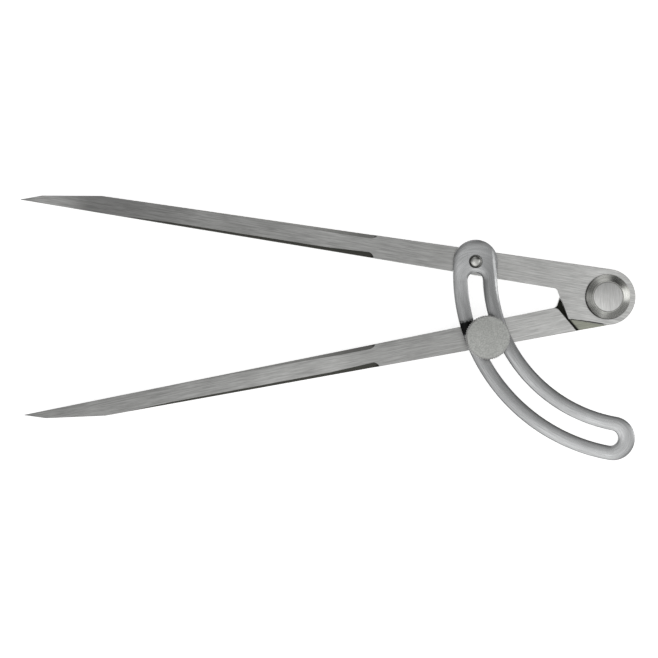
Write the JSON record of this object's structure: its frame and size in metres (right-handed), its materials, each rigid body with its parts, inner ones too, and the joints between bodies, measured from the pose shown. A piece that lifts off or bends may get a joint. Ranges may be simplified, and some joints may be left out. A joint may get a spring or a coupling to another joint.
{
  "type": "wing divider",
  "caption": "Forged steel divider whose two pointed legs turn on a riveted head and are locked by a slotted arc wing and a knurled thumb screw.",
  "frame": {"origin": "on the pivot axis, at the flat rear end of the head rivet", "axes": "+X from the points to the head, +Z along the pivot axis to the front of the head, +Y across, towards the upper leg of the rest pose"},
  "size_m": [0.2075, 0.0892, 0.0181],
  "materials": {
    "leg_steel": "forged steel legs, belt ground lengthwise, satin grey",
    "rivet_steel": "rivet ends ground flat with fine straight brush lines",
    "rosette_steel": "turned bevelled washer with fine circular tool marks, bright",
    "wing_steel": "arc with rounded rails, satin brushed along its length",
    "screw_steel": "matte blasted knob face with a fine straight knurl on the rim"
  },
  "bodies": {
    "upper_leg": {"front_leg": "leg_steel", "pivot_rivet": "rivet_steel", "front_rosette": "rosette_steel", "rear_rosette": "rosette_steel", "wing_rivet": "rivet_steel"},
    "lower_leg": {"rear_leg": "leg_steel"},
    "wing": {"wing": "wing_steel"},
    "thumb_screw": {"clamp_screw": "screw_steel"}
  },
  "joints": [
    {"name": "leg_hinge", "type": "hinge", "parent": "upper_leg", "child": "lower_leg", "pos_m": [0, 0, 0.00485], "axis": [0, 0, 1], "range_deg": [-20.8, 76.7]},
    {"name": "wing_swing", "type": "hinge", "parent": "upper_leg", "child": "wing", "pos_m": [-0.04457, 0.01184, 0.0092], "axis": [0, 0, 1], "range_deg": [-1.1, 3.9]},
    {"name": "clamp_turn", "type": "hinge", "parent": "lower_leg", "child": "thumb_screw", "pos_m": [-0.04092, -0.01361, 0.012], "axis": [0, 0, 1], "range_deg": [0, 360]}
  ],
  "couplings": [
    {"joint": "wing_swing", "follows": "leg_hinge", "ratio": 0.049}
  ]
}
